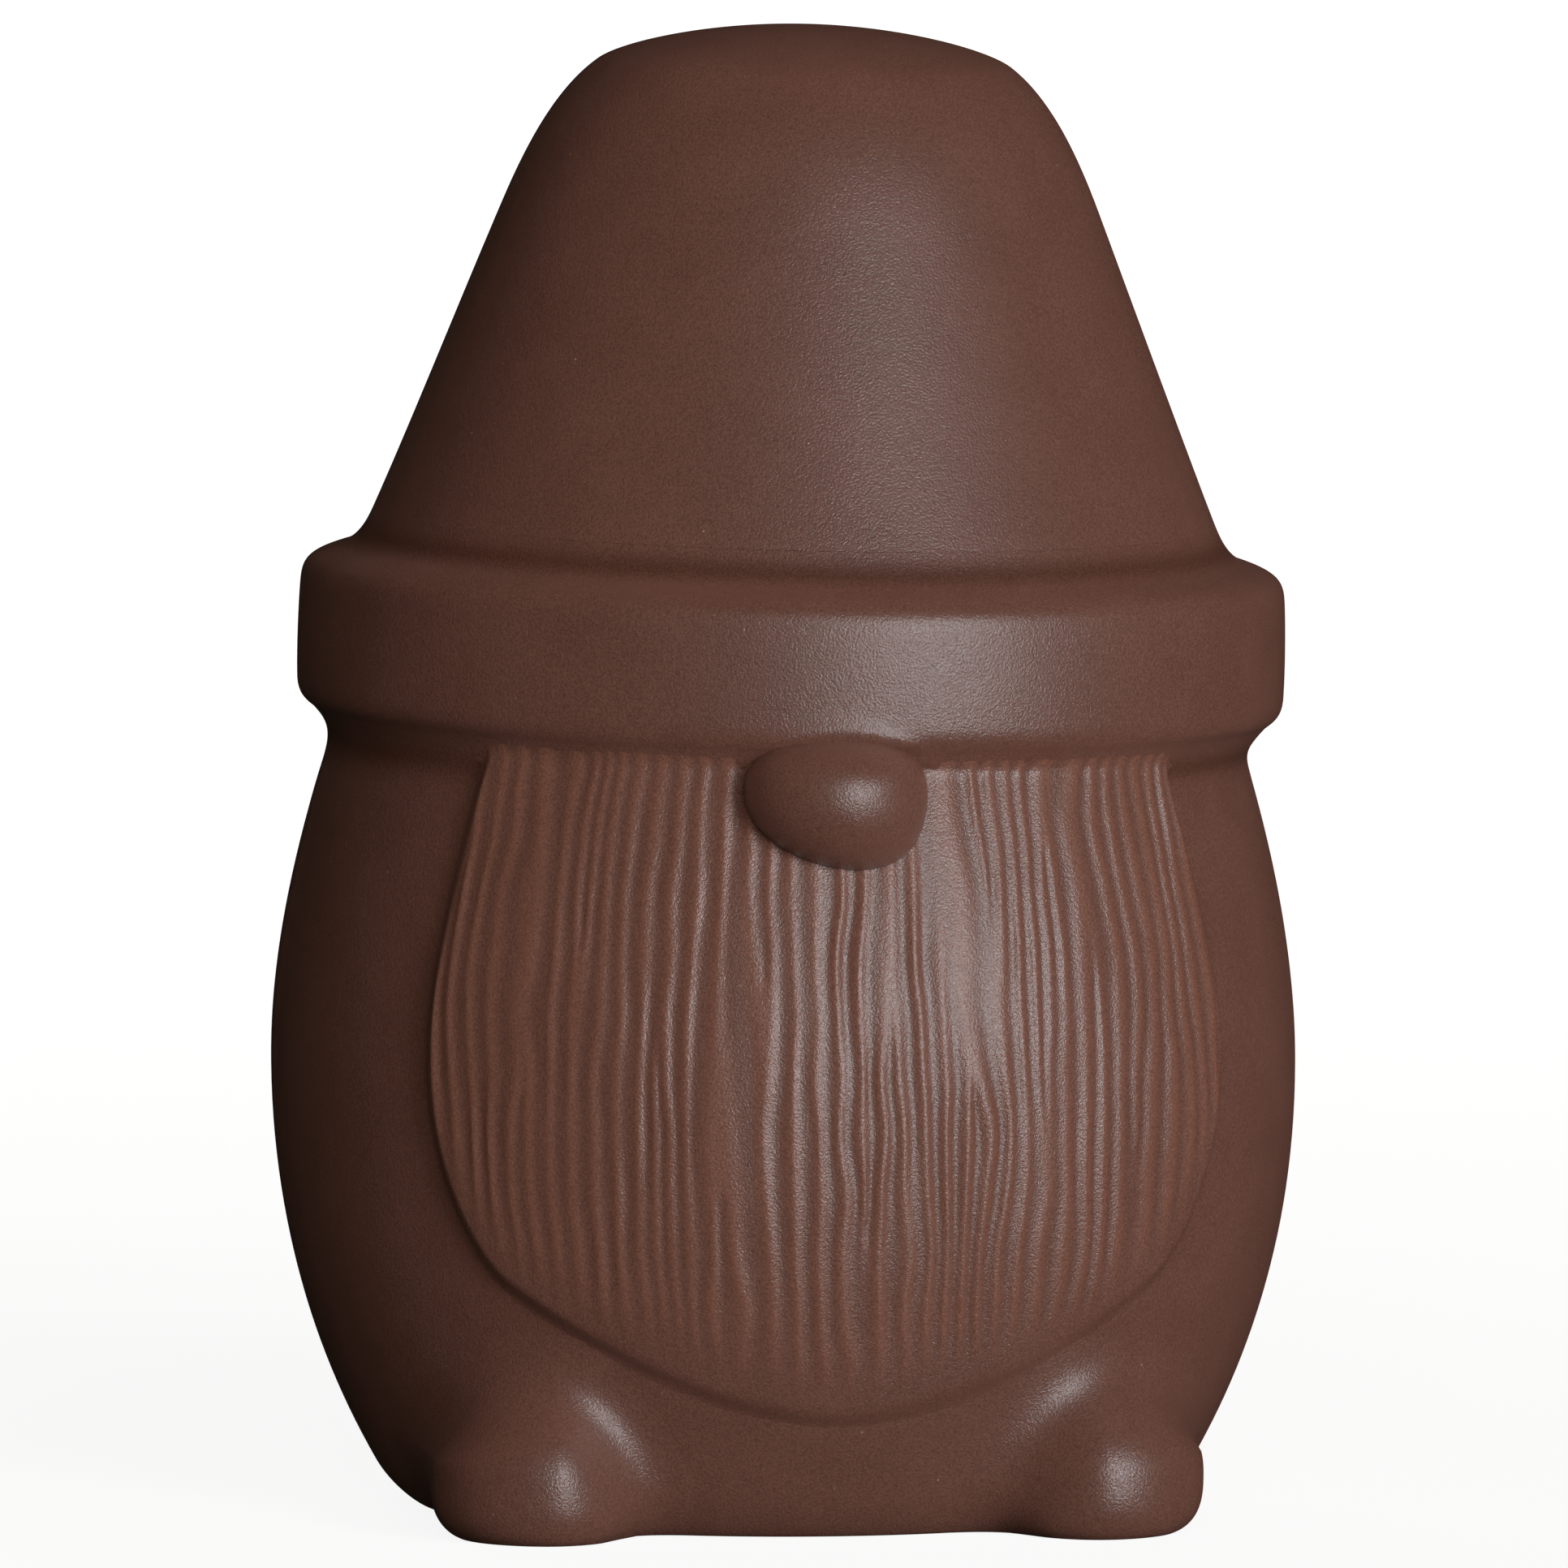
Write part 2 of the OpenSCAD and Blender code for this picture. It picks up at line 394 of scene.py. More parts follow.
def linear(hex_colour: str) -> tuple[float, float, float, float]:
    """An sRGB hex colour as linear red, green, blue and alpha."""
    parts = [int(hex_colour.lstrip("#")[i : i + 2], 16) / 255.0 for i in (0, 2, 4)]
    red, green, blue = (c / 12.92 if c <= 0.04045 else ((c + 0.055) / 1.055) ** 2.4 for c in parts)
    return (red, green, blue, 1.0)


class Finish(Enum):
    """The finishes on the figurine, by the record's material slots."""

    GLAZE = "brown_glaze"
    CLAY = "bare_clay"


@dataclass
class NodeTree:
    """The node tree of a material or of the world while it is put together.

    Attributes:
        owner: The material or world, whose own nodes are cleared first.
    """

    owner: Material | bpy.types.World

    def __post_init__(self) -> None:
        """Clears the tree."""
        self.owner.use_nodes = True
        self.owner.node_tree.nodes.clear()

    def add(self, kind: str, inputs: dict[str | int, object] | None = None, **settings: object) -> bpy.types.Node:
        """Adds a node with its settings and links.

        Args:
            kind: The node's type.
            inputs: What its inputs take, by name or index: a socket, a node's first output, or a value.
            **settings: Values for its properties, or for its inputs where no property has that name.

        Returns:
            The node.
        """
        tree = self.owner.node_tree
        node = tree.nodes.new(kind)
        for name, value in settings.items():
            if hasattr(node, name):
                setattr(node, name, value)
            else:
                node.inputs[name.replace("_", " ")].default_value = value
        for name, source in (inputs or {}).items():
            source = source.outputs[0] if isinstance(source, bpy.types.Node) else source
            if isinstance(source, Socket):
                tree.links.new(source, node.inputs[name])
            else:
                node.inputs[name].default_value = source
        return node


@dataclass(frozen=True)
class SatinGlaze:
    """Iron-brown satin glaze on cast stoneware.

    Fine crystals in the glaze scatter its shine into a soft, grainy highlight. It is painted lighter and redder
    on the crests of the carving, for thin glaze there with a painted highlight, and darker in the creases with
    painted shade.

    Attributes:
        colour: Colour of the glaze at its usual thickness.
        dark_tone_and_crease_shade: Colour of its faint dark clouds, and of the painted shade in the creases.
        thin: Colour on the crests of the carving: thin glaze where the iron shows, with a painted highlight.
        speck: Colour of its few pale specks.
        speck_gap: Distance between the specks, in millimetres.
        crystal: Size of the glaze's crystals, in millimetres.
        mottle: Size of its faint clouds of colour, in millimetres.
        roughness: Roughness of the glaze's crystals, which gives a broad haze.
        gloss: Roughness of the smooth skin over them, which gives the highlight's core.
    """

    colour: str = "#624238"
    dark_tone_and_crease_shade: str = "#4c2f25"
    thin: str = "#7a5041"
    speck: str = "#a98f82"
    speck_gap: float = 5.0
    crystal: float = 0.24
    mottle: float = 9.0
    roughness: float = 0.50
    gloss: float = 0.25

    def build(self) -> Material:
        """Puts the material together."""
        material = bpy.data.materials.new("satin_stoneware_glaze")
        t = NodeTree(material)
        place = t.add("ShaderNodeTexCoord").outputs["Object"]
        clouds = t.add(
            "ShaderNodeTexNoise", {"Vector": place}, Scale=1 / (self.mottle * MM), Detail=4.0, Roughness=0.55
        )
        shade = t.add(
            "ShaderNodeMapRange", {"Value": clouds}, From_Min=0.3, From_Max=0.7, To_Min=0.0, To_Max=0.28
        )
        painted_crease_shade = t.add("ShaderNodeAttribute", attribute_name="painted_crease_shade").outputs["Fac"]
        thin_glaze_and_sheen_share = t.add("ShaderNodeAttribute", attribute_name="thin").outputs["Fac"]
        colour = t.add(
            "ShaderNodeMix", {"Factor": shade, 6: linear(self.colour), 7: linear(self.dark_tone_and_crease_shade)}, data_type="RGBA"
        )
        # painted shade darkens the creases; the strand crests are painted lighter, for thin glaze with a painted
        # highlight
        for share, over in ((painted_crease_shade, self.dark_tone_and_crease_shade), (thin_glaze_and_sheen_share, self.thin)):
            colour = t.add(
                "ShaderNodeMix", {"Factor": share, 6: colour.outputs[2], 7: linear(over)}, data_type="RGBA"
            )
        specks = t.add("ShaderNodeTexVoronoi", {"Vector": place}, Scale=1 / (self.speck_gap * MM), Randomness=1.0)
        speck = t.add(
            "ShaderNodeMapRange", {"Value": specks}, From_Min=0.012, From_Max=0.03, To_Min=0.55, To_Max=0.0
        )
        colour = t.add(
            "ShaderNodeMix", {"Factor": speck, 6: colour.outputs[2], 7: linear(self.speck)}, data_type="RGBA"
        )
        crystals = t.add(
            "ShaderNodeTexNoise", {"Vector": place}, Scale=1 / (self.crystal * MM), Detail=2.0, Roughness=0.6
        )
        dots = t.add(
            "ShaderNodeMapRange", {"Value": crystals}, From_Min=0.3, From_Max=0.7, To_Min=0.74, To_Max=1.26
        )
        colour = t.add("ShaderNodeVectorMath", {0: colour.outputs[2], "Scale": dots}, operation="SCALE")
        skin = t.add("ShaderNodeTexNoise", {"Vector": place}, Scale=1 / (3.0 * MM), Detail=2.0, Roughness=0.5)
        rough = t.add(
            "ShaderNodeMapRange", {"Value": crystals},
            From_Min=0.3, From_Max=0.7, To_Min=self.roughness - 0.07, To_Max=self.roughness + 0.07,
        )
        soft = t.add("ShaderNodeBump", {"Height": skin}, Strength=0.2, Distance=0.04 * MM)
        grain = t.add("ShaderNodeBump", {"Height": crystals, "Normal": soft}, Strength=1.0, Distance=0.085 * MM)
        shader = t.add(
            "ShaderNodeBsdfPrincipled",
            {"Base Color": colour, "Roughness": rough, "Normal": grain, "Coat Normal": grain},
            IOR=1.5, Diffuse_Roughness=0.8, Coat_Weight=0.65, Coat_Roughness=self.gloss, Coat_IOR=1.5,
        )
        t.add("ShaderNodeOutputMaterial", {"Surface": shader})
        return material


@dataclass(frozen=True)
class BareClay:
    """Fired stoneware without glaze, wiped clean before firing.

    It is dry and matt, with a fine sandy tooth and dark iron specks.

    Attributes:
        colour: Colour of the fired clay.
        warm: Colour of its warmer patches.
        iron: Colour of its iron specks.
        grit: Size of its sand, in millimetres.
    """

    colour: str = "#8a6a55"
    warm: str = "#9a6f52"
    iron: str = "#3b2a22"
    grit: float = 0.35

    def build(self) -> Material:
        """Puts the material together."""
        material = bpy.data.materials.new("bare_stoneware_clay")
        t = NodeTree(material)
        place = t.add("ShaderNodeTexCoord").outputs["Object"]
        patches = t.add("ShaderNodeTexNoise", {"Vector": place}, Scale=1 / (14.0 * MM), Detail=3.0)
        body = t.add(
            "ShaderNodeMix", {"Factor": patches, 6: linear(self.colour), 7: linear(self.warm)}, data_type="RGBA"
        )
        iron = t.add("ShaderNodeTexVoronoi", {"Vector": place}, Scale=1 / (2.2 * MM))
        speck = t.add(
            "ShaderNodeMapRange", {"Value": iron}, From_Min=0.05, From_Max=0.12, To_Min=0.75, To_Max=0.0
        )
        colour = t.add(
            "ShaderNodeMix", {"Factor": speck, 6: body.outputs[2], 7: linear(self.iron)}, data_type="RGBA"
        )
        sand = t.add("ShaderNodeTexNoise", {"Vector": place}, Scale=1 / (self.grit * MM), Detail=3.0)
        tooth = t.add("ShaderNodeBump", {"Height": sand}, Strength=0.8, Distance=0.08 * MM)
        shader = t.add(
            "ShaderNodeBsdfPrincipled", {"Base Color": colour.outputs[2], "Normal": tooth}, Roughness=0.9, IOR=1.45
        )
        t.add("ShaderNodeOutputMaterial", {"Surface": shader})
        return material


def hand_over(piece: Piece, node: str) -> Piece:
    """Puts the finished piece on the CAD's body in place of its node, and reports it."""
    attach(piece, BODY)
    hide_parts(node)
    LOG.info("%s stands for %s: %d faces", piece.name, node, len(piece.data.polygons))
    return piece


def bare_below(piece: Piece, clay: Material, inside_r: float = 0.0) -> None:
    """Leaves the faces that the figure stands on, and those within a radius in millimetres, as bare clay."""
    piece.data.materials.append(clay)
    for face in piece.data.polygons:
        if face.center.z < 0.05 * MM or math.hypot(face.center.x, face.center.y) < inside_r * MM:
            face.material_index = 1


# -------- the hat


@dataclass
class Hat:
    """The tall crown and the rolled brim.

    Attributes:
        form: The figure's shared form.
        glaze: The glaze.
        steps: Steps of the potter's turn.
        tuck: How far a hidden edge lies under the glaze that covers it.
    """

    form: Form
    glaze: Material
    steps: int = 288
    tuck: float = 0.12

    def crown(self) -> Piece:
        """The crown: a hollow cone with a domed top, whose foot is hidden under the brim's glaze."""
        side = self.form.crown_side()
        rise = side[0]
        foot, ceiling = near(rise, -self.form.wall + 0.9, -3.0), self.form.top_z - self.form.wall
        bend = (24.0, 136.5)
        hidden = [near(rise, 1.26, -3.0), near(rise, 0.63, -1.5), near(rise, 0.29, -0.7)]
        inside = (
            [(0.0, ceiling)]
            + curve((6.0, ceiling), (16.0, ceiling), (22.0, 141.0), bend, 10)
            + curve(bend, (27.0, 128.0), (36.0, 106.0), foot, 16)
            + [foot]
        )
        outline = inside + hidden + side
        piece = lathe("hat_crown_glazed", outline, self.steps)
        place_vertices(piece, self.form.settle(coordinates(piece)))
        surface(piece, self.glaze, 50)
        return hand_over(piece, "hat_crown")

    def brim(self, nose: "Nose") -> Piece:
        """The brim: a rolled band whose glaze runs out over the creases above and below it."""
        side = self.form.brim_side()
        start, rise = side[0], side[-1]
        ring = self.form.brim_r - self.form.wall
        inner_foot = near(start, -self.form.wall + 0.5, 0.4)
        under = [
            (float(self.form.body_radius(np.array(start[1] - dz))) - dr, start[1] - dz)
            for dz, dr in ((1.3, self.tuck), (0.6, self.tuck / 5))
        ]
        foot = [inner_foot, near(start, -1.2, -1.0)] + under
        head = [near(rise, -0.25, 0.55), near(rise, -0.62, 1.2), near(rise, -1.6, 0.9)]
        inside = (
            curve(near(rise, -1.4, 0.0), near(rise, 0.0, -4.0), (ring, 92.0), (ring, 88.0), 10)
            + curve((ring, 88.0), (ring, 84.0), (43.5, 81.0), inner_foot, 10)
            + [inner_foot]
        )
        outline = foot + side + head + inside
        piece = lathe("hat_brim_glazed", outline, self.steps)
        points = nose.press_into(coordinates(piece))
        # painted shade in the brim's creases
        mark(piece, "painted_crease_shade", self.form.painted_crease_shade(points))
        place_vertices(piece, self.form.settle(points))
        surface(piece, self.glaze, 50)
        return hand_over(piece, "hat_brim")


# -------- the nose


@dataclass
class Nose:
    """The egg pushed up under the brim.

    Attributes:
        glaze: The glaze.
        centre: Its middle, at its widest ring.
        radius: Half its width.
        up: Height above its widest ring.
        down: Depth below it.
        lip: How far the clay round it is pushed up.
        slant: How far its lower end slants to the viewer's right, as a share of its depth.
        above: Parts of its height above its widest ring.
        below: Parts below it.
    """

    glaze: Material
    centre: tuple[float, float, float]
    radius: float
    up: float
    down: float
    lip: float = 0.35
    slant: float = 0.28
    above: float = 5.6
    below: float = 7.9

    @classmethod
    def from_frame(cls, glaze: Material) -> "Nose":
        """Reads the egg's size and place off the CAD node."""
        low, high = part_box("nose")
        radius = (high.x - low.x) / 2 / MM
        down_share = cls.below / (cls.below + cls.above)
        height = (high.z - low.z) / MM
        middle = ((high.x + low.x) / 2 / MM, low.y / MM + radius, low.z / MM + height * down_share)
        return cls(glaze, middle, radius, height * (1 - down_share), height * down_share)

    def closeness(self, points: Array) -> Array:
        """How far each point is from the egg's surface, as a distance outside it, in millimetres."""
        d = points - np.array(self.centre)
        half = np.where(d[:, 2] > 0, self.up, self.down)
        scaled = np.sqrt((d[:, 0] / self.radius) ** 2 + (d[:, 1] / self.radius) ** 2 + (d[:, 2] / half) ** 2)
        steep = np.sqrt(d[:, 0] ** 2 + d[:, 1] ** 2 + (d[:, 2] * self.radius / half) ** 2) / self.radius
        return (scaled - 1.0) * np.linalg.norm(d, axis=1) / np.maximum(steep, 0.3)

    def press_into(self, points: Array) -> Array:
        """Raises a slight lip on clay that lies close round the egg, as when it was pushed on."""
        away = self.closeness(points)
        d = points - np.array(self.centre)
        out = np.array([0.0, -1.0, 0.25])
        lip = self.lip * np.exp(-(((away - 1.1) / 0.75) ** 2)) * (d[:, 1] < 4.0)
        return points + lip[:, None] * out

    def egg(self) -> Piece:
        """The egg: a ball drawn out downwards."""
        deselect_all()
        bpy.ops.mesh.primitive_uv_sphere_add(segments=128, ring_count=96, radius=self.radius * MM)
        piece = bpy.context.object
        piece.name = "nose_glazed"
        points = coordinates(piece) / self.radius
        across = np.hypot(points[:, 0], points[:, 1])
        flat = np.sqrt(np.maximum(1 - across**2.5, 0)) ** 0.8
        points[:, 2] = np.where(points[:, 2] > 0, self.up * flat, self.down * points[:, 2])
        points[:, :2] *= self.radius
        points[:, 0] += self.slant * np.minimum(points[:, 2], 0) ** 2 / self.down
        points += np.array(self.centre)
        place_vertices(piece, points)
        surface(piece, self.glaze, 60)
        return hand_over(piece, "nose")


# -------- the beard


@dataclass
class Beard:
    """The raised beard with its carved strands.

    Attributes:
        form: The figure's shared form.
        glaze: The glaze.
        raised: Height of the beard above the body.
        strands: Number of strands across it.
        carve: Depth of the carving.
        columns: Vertices across.
        rows: Vertices down.
        half_angle: Half the angle that it wraps round the body.
        side_z: Height where it is widest.
        top_z: Height of its hidden upper edge.
        crease: Reach of the fillet between the beard and the brim.
        sunk: How far its edges lie under the glaze round them.
        sheet: Thickness of the sheet of clay.
        unroll_r: Radius at which the body's side is unrolled flat to measure on it.
        forks: Angle and height of each place where a strand starts (1) or ends (-1).
    """

    form: Form
    glaze: Material
    raised: float = 1.3
    strands: float = 38.0
    carve: float = 0.42
    columns: int = 441
    rows: int = 112
    half_angle: float = 51.3
    side_z: float = 50.0
    top_z: float = 83.0
    crease: float = 0.8
    sunk: float = 0.14
    sheet: float = 0.9
    unroll_r: float = 50.0
    forks: tuple[tuple[float, float, int], ...] = (
        (11.5, 60.0, 1), (17.0, 66.0, -1), (14.0, 47.0, 1), (22.5, 44.0, -1), (5.0, 52.0, 1),
        (-9.0, 58.0, -1), (-21.0, 49.0, 1), (-30.0, 61.0, -1), (-14.0, 36.0, 1), (30.0, 57.0, 1),
        (35.0, 40.0, -1), (2.0, 33.0, -1), (25.0, 70.0, 1), (-37.0, 46.0, 1),
    )

    def edge(self) -> list[Point]:
        """The right half of the beard's outline, as angle and height, from its tip round to the brim."""
        tip, jaw, cheek = (0.0, 11.7), (40.6, 25.0), (self.half_angle, self.side_z)
        return (
            curve(tip, (14.0, 11.7), near(jaw, -10.6, -6.0), jaw, 40)
            + curve(jaw, near(jaw, 5.2, 2.9), near(cheek, 0, -11.0), cheek, 40)
            + curve(cheek, near(cheek, 0, 8.0), (49.2, 68.0), (48.3, self.top_z), 24)
            + [(48.3, self.top_z)]
        )

    def layout(self) -> tuple[Array, Array]:
        """Angle and height of each vertex of the beard's grid, a little past its outline."""
        edge = np.array(self.edge())
        lower = edge[edge[:, 1] <= self.side_z + 1e-9]
        upper = edge[edge[:, 1] >= self.side_z - 1e-9]
        run = np.r_[0.0, np.cumsum(np.hypot(np.diff(lower[:, 0]) * 0.88, np.diff(lower[:, 1])))]
        s = np.linspace(-1.0, 1.0, self.columns)
        angle = np.interp(np.abs(s) * run[-1], run, lower[:, 0]) * np.sign(s)
        low = np.interp(np.abs(s) * run[-1], run, lower[:, 1])
        t = np.linspace(1.0, 0.0, self.rows)
        t = t - 0.035 * np.sin(math.tau * t)
        z = self.top_z + t[:, None] * (low - self.top_z)[None, :]
        widest = np.interp(z, upper[:, 1], upper[:, 0], left=self.half_angle)
        phi = angle[None, :] * widest / self.half_angle
        margin = 1.0 + 0.022 * smooth_step(0.86, 1.0, np.abs(s))[None, :]
        z = z - 0.5 * (t**6)[:, None]
        return phi * margin, z

    def inside_edge(self, phi: Array, z: Array) -> Array:
        """Distance from the outline in millimetres, positive inside the beard."""
        half = np.array(self.edge())
        loop = np.r_[half, (half * [-1, 1])[::-1]]
        mm = np.c_[np.radians(loop[:, 0]) * self.unroll_r, loop[:, 1]]
        p = np.c_[np.radians(phi).ravel() * self.unroll_r, z.ravel()]
        best = np.full(len(p), 1e9)
        inside = np.zeros(len(p), bool)
        for a, b in zip(mm, np.roll(mm, -1, axis=0)):
            ab = b - a
            length = float(ab @ ab)
            if length < 1e-9:
                continue
            share = np.clip(((p - a) @ ab) / length, 0, 1)
            best = np.minimum(best, np.hypot(*(p - a - share[:, None] * ab).T))
            crosses = (a[1] > p[:, 1]) != (b[1] > p[:, 1])
            at = a[0] + (p[:, 1] - a[1]) * ab[0] / (ab[1] if abs(ab[1]) > 1e-9 else 1e-9)
            inside ^= crosses & (p[:, 0] < at)
        return np.where(inside, best, -best).reshape(phi.shape)

    def strand_phase(self, phi: Array, z: Array) -> Array:
        """How many strands lie between the beard's middle and each point, counted to the right."""
        across = phi / (2 * self.half_angle) * self.strands
        uneven = 0.75 * Ripple(11).at(phi / 8.0 + 20, z / 120.0 + 3)
        wave = 0.34 * Ripple(12).at(phi / 9.0 + 31, z / 14.0 + 7) + 0.15 * Ripple(13).at(phi / 4.0 + 5, z / 6.0)
        phase = across + uneven + wave
        for angle, height, turn in self.forks:
            dx, dz = np.radians(phi - angle) * self.unroll_r, (z - height) * 0.10
            phase = phase + turn * np.arctan2(dx, -dz) / math.tau
        return phase

    def carving(self, phi: Array, z: Array, inside: Array) -> tuple[Array, Array]:
        """Height of the strands, and how much their crests are painted lighter for thin glaze with a painted
        highlight.

        Args:
            phi: Angles.
            z: Heights.
            inside: Distance inside the beard's outline.

        Returns:
            Height to add to the beard's face, and the share of the crests' lighter colour: thin glaze with a
            painted highlight.
        """
        phase = self.strand_phase(phi, z)
        wave = 0.5 + 0.5 * np.cos(math.tau * phase)
        crisp = np.clip(0.45 + 0.6 * Ripple(23).at(phi / 5.0 + 8, z / 25.0 + 4), 0.0, 1.0)
        ridge = wave * (1 - crisp) + wave**2.4 * crisp
        low = np.interp(np.abs(phi), [0, 16, 30, 40, 51], [12, 15, 19.5, 25, 40])
        fade = smooth_step(1.0, 10.0, z - low) * smooth_step(0.6, 2.4, inside)
        strength = 0.72 + 0.6 * Ripple(21).at(phi / 4.0 + 12, z / 20.0 + 2)
        strength *= 0.52 + 0.42 * smooth_step(-30.0, 0.0, phi) - 0.32 * smooth_step(14.0, 30.0, phi)
        strength *= 1.0 + 0.35 * Ripple(24).at(phi / 2.5 + 17, z / 6.0 + 5)
        depth = self.carve * np.clip(strength, 0.15, 1.4) * fade
        swell = 0.10 * Ripple(22).at(phi / 7.0 + 3, z / 20.0 + 11) * fade
        # the crests are painted lighter: thin glaze there, with a painted highlight
        thin = 0.55 * wave * fade
        return depth * (ridge - 0.6) + swell, np.clip(thin, 0, 0.6)

    def build(self) -> Piece:
        """Models the beard as one sheet of clay over the body and gives it its thickness."""
        piece = sheet_of_clay("beard_glazed", self.columns, self.rows)
        phi, z = self.layout()
        inside = self.inside_edge(phi, z)
        step = smooth_step(-0.15, 2.1, inside)
        relief, thin = self.carving(phi, z, inside)
        edge = self.sunk * (1 - smooth_step(-0.9, -0.15, inside))
        radius = self.form.body_radius(z) + self.raised * step + relief - edge
        brim = self.form.brim_radius(z)
        ahead = brim - radius
        under = smooth_step(self.form.neck[1] - 1.5, self.form.neck[1] + 0.5, z)
        radius = radius + (soft_max(radius, brim, self.crease) - radius) * under
        radius -= self.sunk * smooth_step(0.9 * self.crease, 2.2 * self.crease, ahead)
        place_vertices(piece, self.form.settle(round_axis(radius, phi, z)))
        # lighter strand crests: thin glaze with a painted highlight
        mark(piece, "thin", thin)
        apply_modifier(piece, "SOLIDIFY", thickness=self.sheet * MM, offset=-1.0)
        surface(piece, self.glaze, 70)
        return hand_over(piece, "beard")


# -------- the body and its feet


@dataclass
class Body:
    """The hollow body.

    Attributes:
        form: The figure's shared form.
        glaze: The glaze.
        clay: The bare clay of the foot ring.
        steps: Steps of the turn.
        floor_r: Radius of the opening in the floor.
        floor: Thickness of the floor.
    """

    form: Form
    glaze: Material
    clay: Material
    steps: int = 320
    floor_r: float = 26.0
    floor: float = 4.0

    def build(self) -> Piece:
        """Turns the body's outline, inside and out, and leaves its foot ring bare."""
        wall = self.form.wall
        side = self.form.body_side()
        edge_in, belly_in = (37.8, 8.2), (self.form.belly_r - wall, self.form.belly_z)
        neck_in = near(self.form.neck, -wall, 0)
        inside = (
            curve((31.5, self.floor), (34.5, self.floor), near(edge_in, -1.4, -2.6), edge_in, 8)
            + curve(edge_in, near(edge_in, 6.1, 10.4), near(belly_in, 0, -16), belly_in, 14)
            + curve(belly_in, near(belly_in, 0, 12), near(neck_in, 3, -10), neck_in, 14)
            + [neck_in, near(neck_in, -0.9, 3.2)]
        )
        bevel = [(self.floor_r, self.floor), (self.floor_r, 0.5), (self.floor_r + 0.5, 0.0)]
        outline = bevel + side + inside[::-1] + [bevel[0]]
        piece = lathe("body_glazed", outline, self.steps)
        points = coordinates(piece)
        # painted shade in the neck's crease
        mark(piece, "painted_crease_shade", self.form.painted_crease_shade(points))
        place_vertices(piece, self.form.settle(points))
        surface(piece, self.glaze, 50)
        bare_below(piece, self.clay, self.floor_r + 0.6)
        return hand_over(piece, "body_shell")


